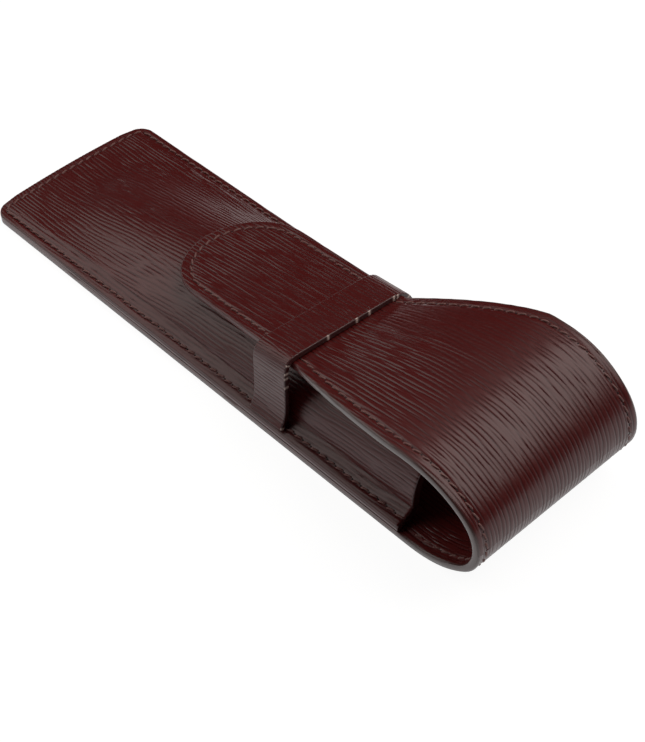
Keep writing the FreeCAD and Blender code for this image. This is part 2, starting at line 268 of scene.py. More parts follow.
class CaseColours(bpy.types.PropertyGroup):
    """Colours of the leather, its edges and the thread"""

    crest: tint("Crest", "Leather on the ribs", (0.071, 0.0047, 0.0043))
    groove: tint("Groove", "Leather between the ribs", (0.027, 0.0029, 0.0030))
    lining: tint("Lining", "Lining leather", (0.100, 0.0120, 0.0110))
    edge: tint("Edge paint", "Paint on the cut edges", (0.050, 0.020, 0.018))
    thread: tint("Thread", "Sewing thread", (0.170, 0.070, 0.063))
    # Painted shade: the dark colour of the needle holes stands for the shade inside them
    hole: tint("Needle hole", "Inside of a needle hole", (0.016, 0.005, 0.005))
    # The light colour of the painted glints on the strap's cut edge, standing in for highlights
    fibre: tint("Fibre", "Painted glint fibres on the strap's cut edge", (0.55, 0.42, 0.38))
    board: tint("Board", "Fibre board in the back", (0.45, 0.36, 0.27))


class StageSizes(bpy.types.PropertyGroup):
    """Floor and light"""

    floor: metres("Floor", "Side of the floor", 6.0)
    brightness: ratio("Brightness", "Radiance of the soft boxes", 1.45)
    surround: ratio("Surround", "Radiance of the dim room", 0.015)


SETTINGS = {
    "pencase_sizes": CaseSizes,
    "pencase_pocket": PocketSizes,
    "pencase_strap": StrapSizes,
    "pencase_grain": GrainSizes,
    "pencase_stitch": StitchSizes,
    "pencase_colours": CaseColours,
    "pencase_stage": StageSizes,
}


def settings(name):
    """The group of settings with this name."""
    return getattr(bpy.context.scene, name)


# Shader maths

class Socket:
    """An output socket that takes part in Python expressions."""

    def __init__(self, tree, socket):
        self.tree = tree
        self.socket = socket

    def math(self, operation, *values):
        """A maths node of the given operation."""
        return self.tree.node("ShaderNodeMath", {"operation": operation}, *values)

    def __add__(self, other):
        return self.math("ADD", self, other)

    def __radd__(self, other):
        return self.math("ADD", other, self)

    def __mul__(self, other):
        return self.math("MULTIPLY", self, other)


class Tree:
    """A node tree that is written as expressions."""

    def __init__(self, owner):
        owner.use_nodes = True
        self.tree = owner.node_tree
        self.tree.nodes.clear()

    def node(self, kind, options=None, *values, output=0, at=None, **named):
        """Adds a node: its options first, then the values or links of its sockets, by place or name."""
        made = self.tree.nodes.new(kind)
        for key, value in (options or {}).items():
            setattr(made, key, value)
        for key, value in list(enumerate(values)) + list((at or {}).items()) + list(named.items()):
            place = made.inputs[key if isinstance(key, int) else key.replace("_", " ")]
            if isinstance(value, Socket):
                self.tree.links.new(value.socket, place)
            else:
                place.default_value = value
        return Socket(self, made.outputs[output]) if made.outputs else None

    def ray(self, kind):
        """1 for light paths of this kind, or else 0."""
        return self.node("ShaderNodeLightPath", output=kind)

    def mix(self, factor, first, second):
        """Mixes two colours by a factor from 0 to 1."""
        options = {"data_type": "RGBA"}
        return self.node("ShaderNodeMix", options, output=2, at={0: factor, 6: first, 7: second})


def opaque(channels):
    """A colour with full alpha."""
    return (*channels, 1.0)


def attribute(tree, name):
    """The values of a mesh attribute."""
    return tree.node("ShaderNodeAttribute", {"attribute_name": name}, output=2)


def leather_material(name, crest, groove):
    """Ribbed leather with fine pores: grooves, painted edges and painted glints (light spots that stand
    in for highlights) come from attributes.
    """
    colours = settings("pencase_colours")
    material = bpy.data.materials.new(name)
    tree = Tree(material)
    place = tree.node("ShaderNodeTexCoord", output=3)
    grooves = attribute(tree, "groove")
    edge = attribute(tree, "edge")
    cloud = tree.node("ShaderNodeTexNoise", None, Vector=place, Scale=90.0, Detail=3.0)
    pores = tree.node("ShaderNodeTexNoise", None, Vector=place, Scale=2600.0, Detail=3.0, Roughness=0.6)
    tone = tree.mix(grooves, opaque(crest), opaque(groove))
    shade = [0.72 * channel for channel in crest]
    tone = tree.mix(cloud * 0.6, tone, opaque(shade))
    tone = tree.mix(edge, tone, opaque(colours.edge))
    # Painted highlight: the glint spots on the strap's cut edge take the light glint colour
    tone = tree.mix(attribute(tree, "worn"), tone, opaque(colours.fibre))
    rough = 0.23 + cloud * 0.10 + pores * 0.08 + grooves * 0.12
    bump = tree.node("ShaderNodeBump", None, Strength=0.22, Distance=0.00006, Height=pores)
    coat = edge * 0.25
    shader = tree.node(
        "ShaderNodeBsdfPrincipled", None, Base_Color=tone, Roughness=rough, Normal=bump, IOR=1.45,
        Coat_Weight=coat, Coat_Roughness=0.2)
    tree.node("ShaderNodeOutputMaterial", None, Surface=shader)
    return material


def plain_material(name, bright, roughness, scale):
    """A matt fibrous finish: two tones and a fine bump from one noise."""
    material = bpy.data.materials.new(name)
    tree = Tree(material)
    place = tree.node("ShaderNodeTexCoord", output=3)
    fibres = tree.node("ShaderNodeTexNoise", None, Vector=place, Scale=scale, Detail=2.0)
    dark = [0.6 * channel for channel in bright]
    tone = tree.mix(fibres, opaque(bright), opaque(dark))
    bump = tree.node("ShaderNodeBump", None, Strength=0.3, Distance=0.00005, Height=fibres)
    shader = tree.node(
        "ShaderNodeBsdfPrincipled", None, Base_Color=tone, Roughness=roughness, Normal=bump)
    tree.node("ShaderNodeOutputMaterial", None, Surface=shader)
    return material


# Surfaces

def eased(part):
    """A smooth step: level at 0 and at 1."""
    return part * part * (3 - 2 * part)


def ramp(distance, length, least=0):
    """A straight rise with the distance, held at a least value and at 1 from the given length on."""
    return np.clip(distance / length, least, 1)


def unit(vectors):
    """The same directions with a length of 1."""
    return vectors / np.linalg.norm(vectors, axis=-1, keepdims=True)


def running_length(first, second):
    """Length along a line of points up to each of them."""
    return np.concatenate([[0], np.cumsum(np.hypot(np.diff(first), np.diff(second)))])


def smoothed(values, step, spread):
    """A Gaussian mean along a line of even steps, mirrored about both ends."""
    reach = int(4 * spread / step)
    weight = np.exp(-0.5 * (np.arange(-reach, reach + 1) * step / spread) ** 2)
    start = 2 * values[0] - values[reach:0:-1]
    end = 2 * values[-1] - values[-2:-reach - 2:-1]
    return np.convolve(np.concatenate([start, values, end]), weight / weight.sum(), "valid")


def bow(across, end):
    """How far the closed end bows out: a parabola across the case that fades with distance from it."""
    depth = settings("pencase_sizes").bow
    return depth * (across / HALF_WIDTH) ** 2 * np.clip(1 - end / BOW_FADE, 0, 1)


def corner_rows():
    """Mesh rows over the closed end's round corners, closest at the very end."""
    return settings("pencase_sizes").corner * (1 - np.cos(np.linspace(0, math.pi / 2, CORNER_ROWS)))


def grooves_at(along, across, seed):
    """Depth of the grooves, 0 on a rib to 1 in a groove.

    Waves that run nearly lengthwise, of slightly different pitch and direction, are added up as complex
    numbers. A groove lies where their common phase is half a turn, so ribs wander, fork and merge.
    """
    grain = settings("pencase_grain")
    draw = np.random.RandomState(seed)
    total = np.zeros(along.shape, complex)
    for _ in range(grain.waves):
        frequency = (1 + grain.spread * draw.randn()) / grain.pitch
        drift = draw.randn() / grain.wander
        start = draw.rand()
        total += np.exp(2j * np.pi * (frequency * across + drift * along + start))
    strength = np.minimum(1, np.abs(total) / (0.7 * math.sqrt(grain.waves)))
    return strength * np.exp(-grain.sharpness * (1 + np.cos(np.angle(total))))


def across_steps(half):
    """Places across a skin from -1 to 1: even steps, and finer ones where the edge is rounded."""
    grain = settings("pencase_grain")
    edge = EDGE_STEPS / half
    middle = np.linspace(-1 + edge[-1], 1 - edge[-1], int(2 * half / grain.fine_step))
    return np.concatenate([-1 + edge[:-1], middle, 1 - edge[-2::-1]])


def normals_of(points):
    """Unit normals of a grid: the cross product of its two directions."""
    rows = np.gradient(points, axis=0)
    columns = np.gradient(points, axis=1)
    return unit(np.cross(rows, columns))


def facing_up(points):
    """Unit normals of a grid, turned so that its middle looks up."""
    normal = normals_of(points)
    return normal * np.sign(normal[points.shape[0] // 2, points.shape[1] // 2, 2])


def rounded(distance, radius):
    """Drop of a quarter-round edge at a distance in from it."""
    inside = np.clip(radius - distance, 0, radius)
    return radius - np.sqrt(np.maximum(0, radius ** 2 - inside ** 2))


def closed_skin(name, top, bottom, attributes, finish):
    """A closed skin between two grids of points, with a wall round their borders."""
    rows, columns = top.shape[:2]
    total = rows * columns
    number = np.arange(total).reshape(rows, columns)
    quads = np.stack(
        [number[:-1, :-1], number[1:, :-1], number[1:, 1:], number[:-1, 1:]], -1).reshape(-1, 4)
    ring = np.concatenate([number[0, :-1], number[:-1, -1], number[-1, :0:-1], number[:0:-1, 0]])
    after = np.roll(ring, -1)
    wall = np.stack([ring, after, after + total, ring + total], -1)
    faces = np.concatenate([quads, quads[:, ::-1] + total, wall])
    middle = (rows // 2, columns // 2)
    if np.dot(normals_of(top)[middle], top[middle] - bottom[middle]) < 0:
        faces = faces[:, ::-1]
    points = np.concatenate([top.reshape(-1, 3), bottom.reshape(-1, 3)])
    return mesh_piece(name, points, faces, attributes, finish)


def mesh_piece(name, points, faces, attributes, finish):
    """A piece from whole arrays of points and faces, with values on its points, in a named finish."""
    mesh = bpy.data.meshes.new(name)
    mesh.from_pydata(points, [], faces)
    mesh.polygons.foreach_set("use_smooth", np.ones(len(mesh.polygons), bool))
    for key, values in attributes.items():
        layer = mesh.attributes.new(key, "FLOAT", "POINT")
        layer.data.foreach_set("value", np.asarray(values, np.float32).ravel())
    mesh.update()
    mesh.validate()
    mesh.set_sharp_from_angle(angle=SHARP_ANGLE)
    mesh.materials.append(bpy.data.materials[finish])
    piece = bpy.data.objects.new(name, mesh)
    bpy.context.scene.collection.objects.link(piece)
    return piece


# The long strip: back, loop, flap and tongue

def swell_share(x):
    """Share of the swelling's length that is done at x."""
    start = CLOSED_END_X + settings("pencase_pocket").swell_start
    return ramp(x - start, MOUTH_X - start)


def swell(x):
    """Height of the cavity: it rises quickly at first and levels out towards the mouth."""
    pocket = settings("pencase_pocket")
    return pocket.depth * (1 - (1 - swell_share(x)) ** pocket.swell_power)


def strip_skin():
    """Thickness of the strip: outer leather and lining."""
    sizes = settings("pencase_sizes")
    return sizes.outer_skin + sizes.lining_skin


def seam_top():
    """Height of the seam allowance, where the pocket lies on the back."""
    return 2 * strip_skin()


def tongue_plane():
    """Height at the strap, and slope, of the plane that touches down at the strap and at the tip."""
    sizes = settings("pencase_sizes")
    lift = seam_top() + sizes.rest_gap + strip_skin()
    at_strap = swell(STRAP_X) + lift
    at_tip = swell(TIP_X) + lift
    return at_strap, (at_strap - at_tip) / (STRAP_X - TIP_X)


def quarter_turn(forward, sideways, split):
    """Radii of two arcs that together turn left by a quarter over the given reach."""
    sine, cosine = math.sin(split), math.cos(split)
    scale = sine * cosine - (1 - sine) * (1 - cosine)
    first = (forward * cosine - sideways * (1 - sine)) / scale
    second = (sideways * sine - forward * (1 - cosine)) / scale
    return first, second


def front_height(x):
    """Fall from the loop's crown to the plane of the tongue.

    A cubic that is level at the crown and meets the plane at its slope. On top comes a swelling
    u*u*(1 - u), scaled so that its highest point is the fullness.
    """
    sizes = settings("pencase_sizes")
    at_strap, slope = tongue_plane()
    crown_x = HALF_LENGTH - sizes.upper_reach
    run = crown_x - FRONT_END_X
    u = (crown_x - x) / run
    end = at_strap + slope * (FRONT_END_X - STRAP_X)
    level = LOOP_HEIGHT + (end - LOOP_HEIGHT) * eased(u)
    level = level - slope * run * (u ** 3 - u ** 2)
    return level + sizes.fullness * 27 / 4 * u ** 2 * (1 - u)


class StripPath:
    """The outside of the strip from the closed end, round the loop, to the tongue's tip.

    Straight along the table, four arcs round the loop, the cubic fall and the tongue's straight run,
    taken at even steps of length and smoothed so that the bend has no sudden change.
    """

    step = 0.0002
    smoothing = 0.0012
    arc_points = 60
    fall_points = 80
    overrun = 0.002

    def __init__(self):
        sizes = settings("pencase_sizes")
        lower = quarter_turn(sizes.lower_reach, sizes.loop_middle, sizes.lower_split)
        upper = quarter_turn(LOOP_HEIGHT - sizes.loop_middle, sizes.upper_reach, sizes.upper_split)
        lift_x = HALF_LENGTH - sizes.lower_reach
        quarter = math.pi / 2
        spans = (
            (lower[0], 0, sizes.lower_split),
            (lower[1], sizes.lower_split, quarter),
            (upper[0], quarter, quarter + sizes.upper_split),
            (upper[1], quarter + sizes.upper_split, 2 * quarter),
        )
        xs = [np.array([CLOSED_END_X, lift_x])]
        zs = [np.zeros(2)]
        x, z = lift_x, 0.0
        for radius, before, after in spans:
            angle = np.linspace(before, after, self.arc_points)[1:]
            xs.append(x + radius * (np.sin(angle) - math.sin(before)))
            zs.append(z - radius * (np.cos(angle) - math.cos(before)))
            x, z = xs[-1][-1], zs[-1][-1]
        fall = np.linspace(x, FRONT_END_X, self.fall_points)[1:]
        xs.append(fall)
        zs.append(front_height(fall))
        at_strap, slope = tongue_plane()
        beyond = TIP_X - self.overrun
        xs.append(np.array([beyond]))
        zs.append(np.array([at_strap + slope * (beyond - STRAP_X)]))
        line_x, line_z = np.concatenate(xs), np.concatenate(zs)
        length = running_length(line_x, line_z)
        self.s = np.arange(0, length[-1], self.step)
        self.x = smoothed(np.interp(self.s, length, line_x), self.step, self.smoothing)
        self.z = smoothed(np.interp(self.s, length, line_z), self.step, self.smoothing)
        heading_x = np.gradient(self.x, self.step)
        heading_z = np.gradient(self.z, self.step)
        size = np.hypot(heading_x, heading_z)
        self.out_x = heading_z / size
        self.out_z = -heading_x / size
        self.side = self.s[np.argmax(self.x)]

    def place(self, s):
        """The point of the outside at a length along the path."""
        return float(np.interp(s, self.s, self.x)), 0.0, float(np.interp(s, self.s, self.z))

    def outward(self, s):
        """Unit vectors out of the strip at lengths along the path."""
        return np.stack([np.interp(s, self.s, self.out_x), 0 * s, np.interp(s, self.s, self.out_z)], -1)

    def at_x(self, x):
        """Length along the path where the flap or tongue lies over x."""
        after = self.s > self.side
        return np.interp(-x, -self.x[after], self.s[after])

    def points(self, along, across, rise):
        """Points at a length along and a place across the strip, raised off its outside.

        The height falls with the place across by a lean: to the near side on the loop's crown, to the far
        side at the strap, and less again at the tongue's tip.
        """
        sizes = settings("pencase_sizes")
        lines = (self.x, self.z, self.out_x, self.out_z)
        x, z, out_x, out_z = (np.interp(along, self.s, line) for line in lines)
        flat = ramp(STRAP_LEFT - x, STRAP_LEFT - TIP_X) * (1 - sizes.tip_roll)
        done = front_share(x) ** 2
        onset = eased(ramp(along - self.side, sizes.roll_reach))
        roll = onset * (sizes.tongue_roll * done * (1 - flat) - sizes.loop_roll * (1 - done))
        return np.stack([x + out_x * rise, across, z + out_z * rise - roll * across], -1)


def front_share(x):
    """Share of the flap's narrowing that is done at x."""
    full = HALF_LENGTH - settings("pencase_sizes").taper_start
    return ramp(full - x, full - FRONT_END_X)


def flap_edges(x):
    """Near and far edge of the flap: full width at the loop, eased into the tongue's straight edges."""
    sizes = settings("pencase_sizes")
    centre = TIP_X + sizes.tip_radius
    done = (STRAP_RIGHT - x) / (STRAP_RIGHT - centre)
    near = sizes.tongue_near + (-sizes.tip_shift - sizes.tip_radius - sizes.tongue_near) * done
    far = sizes.tongue_far + (-sizes.tip_shift + sizes.tip_radius - sizes.tongue_far) * done
    narrowing = front_share(x) ** sizes.taper_power
    return -HALF_WIDTH + (near + HALF_WIDTH) * narrowing, HALF_WIDTH + (far - HALF_WIDTH) * narrowing


def closed_half(x):
    """Half width near the closed end, drawn in by the round corners."""
    radius = settings("pencase_sizes").corner
    return HALF_WIDTH - rounded(x - CLOSED_END_X, radius)


def flap_grid(path):
    """Grid over the upper half of the loop, the flap and the tongue.

    Rows run across the strip as far as the tip's centre; from there the half square maps to the half disc
    of the tip. Gives the length along, the place across and the distance in from the edge.
    """
    sizes = settings("pencase_sizes")
    grain = settings("pencase_grain")
    v = across_steps(HALF_WIDTH)
    centre = TIP_X + sizes.tip_radius
    start, stop = path.side, path.at_x(centre)
    rows = np.linspace(start, stop, int((stop - start) / grain.long_step))
    x = np.interp(rows, path.s, path.x)
    near, far = flap_edges(x)
    straight_y = (near + far)[:, None] / 2 + (far - near)[:, None] / 2 * v
    straight_s = np.repeat(rows[:, None], len(v), 1)
    straight_edge = np.minimum(straight_y - near[:, None], far[:, None] - straight_y)
    u = TIP_STEPS[:, None]
    tip_x = -sizes.tip_radius * u * np.sqrt(1 - v ** 2 / 2)
    tip_y = sizes.tip_radius * v * np.sqrt(1 - u ** 2 / 2)
    tip_edge = sizes.tip_radius - np.hypot(tip_x, tip_y)
    slope = tongue_plane()[1]
    tip_s = stop - tip_x * math.hypot(1, slope)
    along = np.concatenate([straight_s, tip_s])
    across = np.concatenate([straight_y, tip_y - sizes.tip_shift])
    return along, across, np.maximum(0, np.concatenate([straight_edge, tip_edge]))


def back_grid(path):
    """Grid over the back and the lower half of the loop, with the closed end's round corners and bow."""
    sizes = settings("pencase_sizes")
    grain = settings("pencase_grain")
    v = across_steps(HALF_WIDTH)
    steps = int((path.side - sizes.corner) / grain.long_step)
    rows = np.concatenate([corner_rows(), np.linspace(sizes.corner, path.side, steps)[1:]])
    across = closed_half(CLOSED_END_X + rows)[:, None] * v
    side = HALF_WIDTH * (1 - np.abs(v))
    edge = np.minimum(np.minimum(side, rows[:, None]), HALF_WIDTH)
    return rows[:, None] + bow(across, rows[:, None]), across, edge


def seam_line(edge, inset):
    """How far a seam draws the leather in, by distance from the edge: a bell round the seam's inset."""
    stitch = settings("pencase_stitch")
    return stitch.groove_depth * np.exp(-((edge - inset) / stitch.groove_width) ** 2)


def edge_paint(edge, width):
    """1 on the painted rim and 0 inside it."""
    return np.clip(1.5 - edge / width, 0, 1)


def thinned(path, along):
    """Share of the strip's thickness left: pared from the strap to the tongue's tip."""
    start, stop = path.at_x(STRAP_LEFT), path.at_x(TIP_X)
    share = ramp(along - start, stop - start)
    return 1 - settings("pencase_sizes").tongue_skive * share * (2 - share)


def rib_depth(path, along):
    """Depth of the flap's grooves: shallow on the stretched loop, deepest before the strap."""
    peak = path.at_x(MOUTH_X) + RIB_PEAK
    places = [path.at_x(UPPER_FOLD[0]), peak, path.at_x(STRAP_RIGHT), path.at_x(STRAP_LEFT)]
    return settings("pencase_grain").depth * np.interp(along, places, RIB_SHARES)


def strip_skins(path, grid, names, seam, floor):
    """Outer leather and lining over a grid of the strip, where floor says that it is the back.

    Each skin's face is sunk by its ribs, its seam and its rounded edge, less where the back lies on the
    table. The edge paint fades along the pocket and towards the strap; past the strap the tongue's cut
    edges stay dark, as painted shade for the shadow line along them.
    """
    sizes = settings("pencase_sizes")
    grain = settings("pencase_grain")
    along, across, edge = grid
    skins = []
    layers = (
        (0.0, sizes.outer_skin, "outer_leather", 11, 1.0),
        (strip_skin(), sizes.outer_skin, "inner_leather", 12, -1.0),
    )
    for name, (face, back, finish, seed, sign) in zip(names, layers):
        groove = grooves_at(along, across, seed)
        radius = sizes.edge_round if sign > 0 else LINING_ROUND * sizes.edge_round
        trim = rounded(edge, radius)
        if floor and sign < 0:
            trim = trim * ramp(along - POCKET_LENGTH, LIP_FADE, LIP_TRIM)
        depth = grain.depth if floor else rib_depth(path, along)
        sink = depth * groove + seam_line(edge, seam) + trim
        if floor and sign > 0:
            lying = ramp(path.side - LYING_END - along, LYING_FADE)
            sink = sink * (1 - (1 - LYING_RIBS) * lying)
        left = thinned(path, along)
        top = path.points(along, across, -strip_skin() + (strip_skin() - face) * left - sign * sink)
        bottom = path.points(along, across, -strip_skin() + (strip_skin() - back) * left)
        paint = edge_paint(edge, sizes.edge_round)
        if floor:
            reach = along - POCKET_LENGTH + BACK_PAINT_START
            paint = paint * ramp(reach, BACK_PAINT_FADE, FAINT_PAINT)
        else:
            # Painted shade: no paint past the strap, so the tongue's cut edges stay dark
            paint = paint * ramp(path.at_x(STRAP_RIGHT) - along, FLAP_PAINT_FADE)
        values = {
            "groove": np.concatenate([groove, groove * 0]),
            "edge": np.concatenate([paint, paint]),
        }
        skins.append(closed_skin(name, top, bottom, values, finish))
    return skins


def lower_bend(path):
    """Start and end of the lower bend: from before its fold line to the loop's side."""
    fold = path.s[np.argmin(np.hypot(path.x - LOWER_FOLD[0], path.z - LOWER_FOLD[2]))]
    return path.place(fold - LOWER_BEND_REACH), path.place(path.side)


def upper_bend(path):
    """Start and end of the upper bend: from the loop's side, up and back over the flap's front."""
    x, _, z = path.place(path.side)
    cosine, sine = math.cos(UPPER_BEND_LEAN), math.sin(UPPER_BEND_LEAN)
    reaches = (UPPER_BEND_START, UPPER_BEND_END)
    return [(x + reach * cosine, 0.0, z + reach * sine) for reach in reaches]


def blend_low(path, piece):
    """Bakes a piece's place into its mesh; the lower bend's start and end are found but not used to bend
    it.
    """
    start, end = lower_bend(path)
    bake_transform(piece)


def blend_high(path, piece):
    """Bakes a piece's place into its mesh; the upper bend's start and end are found but not used to bend
    it.
    """
    start, end = upper_bend(path)
    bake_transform(piece)


class PENCASE_OT_materials(bpy.types.Operator):
    """Make the leather, lining, thread and board finishes"""

    bl_idname = "pencase.materials"
    bl_label = "Finishes"

    def execute(self, context):
        colours = settings("pencase_colours")
        leather_material("outer_leather", colours.crest, colours.groove)
        leather_material("inner_leather", colours.lining, colours.groove)
        plain_material("sewing_thread", colours.thread, 0.6, 3000.0)
        # The needle holes' dark finish is painted shade
        plain_material("needle_hole_shade", colours.hole, 0.9, 2000.0)
        plain_material("fibre_board", colours.board, 0.9, 700.0)
        board = frame["nodes"]["back_board"]
        board.data.materials.clear()
        board.data.materials.append(bpy.data.materials["fibre_board"])
        return {"FINISHED"}


class PENCASE_OT_strip(bpy.types.Operator):
    """Make the long strip: back, loop, flap and tongue, as outer leather and lining"""

    bl_idname = "pencase.strip"
    bl_label = "Back and flap"

    def execute(self, context):
        stitch = settings("pencase_stitch")
        path = StripPath()
        outer, lining = strip_skins(
            path, back_grid(path), ("back_leather", "back_inner_leather"), stitch.seam_inset, True)
        for piece, node, slot in (
            (outer, "back_outer", "ribbed_leather"), (lining, "back_lining", "lining_leather")):
            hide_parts(node)
            blend_low(path, piece)
        outer, lining = strip_skins(
            path, flap_grid(path), ("flap_leather", "flap_inner_leather"), stitch.flap_inset, False)
        for piece, layer, slot in (
            (outer, "outer", "ribbed_leather"), (lining, "lining", "lining_leather")):
            for stretch in ("bend", "flap", "under_strap", "tongue"):
                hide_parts(stretch + "_" + layer)
            blend_high(path, piece)
        return {"FINISHED"}


# The pocket

def soft_top(first, second, softness):
    """The higher of two heights with a rounded change from one to the other."""
    return (first + second + np.sqrt((first - second) ** 2 + softness ** 2)) / 2


def pocket_rows():
    """Places of the pocket's sections along the case, closer over the corners and at the mouth."""
    corner = settings("pencase_sizes").corner
    steps = int(POCKET_LENGTH / settings("pencase_grain").long_step)
    middle = np.linspace(corner, POCKET_LENGTH - MOUTH_REACH, steps)[1:]
    rows = np.concatenate([corner_rows(), middle, POCKET_LENGTH - MOUTH_STEPS])
    return CLOSED_END_X + rows[:, None]


def pocket_ribs(along, across, edge, seed):
    """Groove depth on the pocket, weaker in the pressed band outside the seam."""
    band = BAND_RIBS + (1 - BAND_RIBS) * ramp(edge - BAND_START, BAND_FADE)
    return grooves_at(along, across, seed) * band


def pared(x):
    """Share of the pocket's thickness left at x: pared down towards the closed end."""
    pocket = settings("pencase_pocket")
    return 1 - pocket.skive * (1 - ramp(x - CLOSED_END_X, pocket.skive_length)) ** 2


def tilted(inset):
    """Share of the seam's thickness at an inset: the seam allowance falls towards the edge."""
    pocket = settings("pencase_pocket")
    allowance = HALF_WIDTH - pocket.half
    return 1 + pocket.tilt * (2 * ramp(inset, allowance) - 1)


def beside(inset, half):
    """Height of the swelling carried on beyond the wall's foot, where it falls away steeply."""
    steepness = 3
    return strip_skin() - steepness * (HALF_WIDTH - half - inset)


def swollen(x, form, inset, base):
    """Height of a skin: the swelling form or the seam allowance, whichever is higher, softly joined."""
    pocket = settings("pencase_pocket")
    level = strip_skin() + (base - strip_skin()) * pared(x) * tilted(inset)
    least, flat_end = 0.0004, 0.002
    softness = np.minimum(pocket.foot_round, 0.5 * swell(x) + least)
    rise = eased(ramp(x - CLOSED_END_X - flat_end, pocket.end_ramp))
    return level + (soft_top(form, level, softness) - level) * rise


def pocket_section(x, skin, base):
    """Section of the pocket at x, softened into the seam allowance.

    A parabola near the closed end turns into a squared-off ellipse towards the mouth.
    """
    pocket = settings("pencase_pocket")
    grain = settings("pencase_grain")
    height = swell(x) + skin * pared(x)
    share = swell_share(x)
    power = pocket.closed_squareness + (pocket.mouth_squareness - pocket.closed_squareness) * share ** 4
    half = pocket.half - strip_skin() + skin
    girth = 0.058
    angle = np.linspace(0, math.pi, int(girth / grain.round_step))
    wave = np.cos(angle)
    y = -half * np.sign(wave) * np.abs(wave) ** (2 / power)
    square = eased(ramp(share - pocket.dome_start, pocket.dome_length))
    arch = np.maximum(np.sin(angle), 0) ** (2 / power)
    z = strip_skin() + height * (square * arch + (1 - square) * (1 - (y / half) ** 2))
    seam = np.concatenate([SEAM_STEPS, np.linspace(EDGE_STEPS[-1], HALF_WIDTH - half, SEAM_ROWS)[:-1]])
    flat = np.repeat(beside(seam, half)[None], len(x), 0)
    near_y = np.repeat((seam - HALF_WIDTH)[None], len(x), 0)
    y = np.concatenate([near_y, y, -near_y[:, ::-1]], 1)
    z = np.concatenate([flat, z, flat[:, ::-1]], 1)
    edge = HALF_WIDTH - np.abs(y)
    z = swollen(x, z, edge, base)
    y = y * closed_half(x) / HALF_WIDTH
    return y, z, edge


def pocket_skins():
    """Outer leather and lining of the pocket, each a skin between two sections.

    The ribs follow the length of the arc round the section, so they fan out with the swelling. The hidden
    lining stays smooth. A little of the edge's radius is left where the leather is pared.
    """
    sizes = settings("pencase_sizes")
    stitch = settings("pencase_stitch")
    grain = settings("pencase_grain")
    fan, spare = 0.8, 0.1
    rows = pocket_rows()
    lining_top = strip_skin() + sizes.lining_skin
    levels = (
        ("pocket_leather", "outer_leather", 21, strip_skin(), seam_top(), sizes.lining_skin, lining_top),
        ("pocket_inner_leather", "inner_leather", 22, sizes.lining_skin, lining_top, 0.0, strip_skin()),
    )
    made = []
    for name, finish, seed, skin, base, under_skin, under_base in levels:
        y, z, edge = pocket_section(rows, skin, base)
        under_y, under_z, _ = pocket_section(rows, under_skin, under_base)
        end = rows - CLOSED_END_X
        x = rows + bow(y, end)
        top = np.stack([x, y, z], -1)
        bottom = np.stack([x, under_y, under_z], -1)
        step = np.hypot(np.diff(y, axis=1), np.diff(z, axis=1))
        arc = np.concatenate([np.zeros((len(rows), 1)), np.cumsum(step, 1)], 1)
        arc = arc - arc[:, [arc.shape[1] // 2]]
        across = fan * arc + (1 - fan) * arc[[len(rows) // 2]]
        border = np.minimum(edge, end)
        to_mouth = MOUTH_X - rows + 0 * y
        groove = pocket_ribs(x, across, border, seed)
        sink = grain.depth * groove + seam_line(border, stitch.seam_inset)
        rounding = sizes.edge_round * np.minimum(1, pared(rows) + spare)
        sink = sink + rounded(np.minimum(border, to_mouth), rounding)
        if finish == "inner_leather":
            sink = 0 * sink
        top = top - facing_up(top) * sink[..., None]
        paint = edge_paint(border, PAINT_WIDTH * sizes.edge_round)
        lips = edge_paint(to_mouth, LIP_WIDTH * sizes.edge_round)
        groove = np.maximum(groove, lips)
        paint = FAINT_PAINT * paint * (1 - lips)
        values = {
            "groove": np.concatenate([groove, groove]),
            "edge": np.concatenate([paint, paint]),
        }
        made.append(closed_skin(name, top, bottom, values, finish))
    return made


class PENCASE_OT_pocket(bpy.types.Operator):
    """Make the swelling pocket front and its lining"""

    bl_idname = "pencase.pocket"
    bl_label = "Pocket"

    def execute(self, context):
        outer, lining = pocket_skins()
        for piece, node, slot in (
            (outer, "pocket_outer", "ribbed_leather"), (lining, "pocket_lining", "lining_leather")):
            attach(piece, "case")
            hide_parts(node)
        return {"FINISHED"}


# The strap

def strap_line():
    """Outside of the strap in section: from the near foot over the tongue to the far foot, softened."""
    sizes = settings("pencase_sizes")
    strap = settings("pencase_strap")
    pocket = settings("pencase_pocket")
    total = strap.skin + strap.lining
    half = pocket.half + strap.side_gap + total
    foot = seam_top() + total
    far_y = sizes.tongue_far + strap.side_gap + total
    at_strap, _ = tongue_plane()
    rise = strap.gap + total
    flare = 0.0012
    corners = np.array([
        (-HALF_WIDTH, foot - 0.4 * flare),
        (-half - flare, foot),
        (-half - 0.7 * flare, foot + 2.5 * flare),
        (-half - 0.2 * flare, at_strap + sizes.tongue_roll * half + rise),
        (far_y - flare, at_strap - sizes.tongue_roll * far_y + rise - 0.2 * flare),
        (far_y + 0.6 * flare, at_strap - sizes.tongue_roll * far_y + rise - 1.4 * flare),
        (half, foot),
        (HALF_WIDTH, foot - 0.4 * flare),
    ])
    length = running_length(*corners.T)
    step = settings("pencase_grain").fine_step
    s = np.arange(0, length[-1], step)
    y, z = (smoothed(np.interp(s, length, line), step, strap.shoulder) for line in corners.T)
    return s, y, z, foot


def painted_glints(s, offsets, width):
    """Painted glints: 1 on a few short places of the strap's right cut edge, as bells round drawn
    lengths, or else 0; these places take a light colour that stands in for highlights.
    """
    grain = settings("pencase_grain")
    places = np.random.RandomState(grain.worn_seed).uniform(s[0], s[-1], grain.worn_count)
    bells = np.exp(-((s[:, None] - places[None]) / grain.worn_size) ** 2).max(1)
    at_edge = offsets > width - 0.5 * grain.worn_size
    return bells[:, None] * at_edge[None]


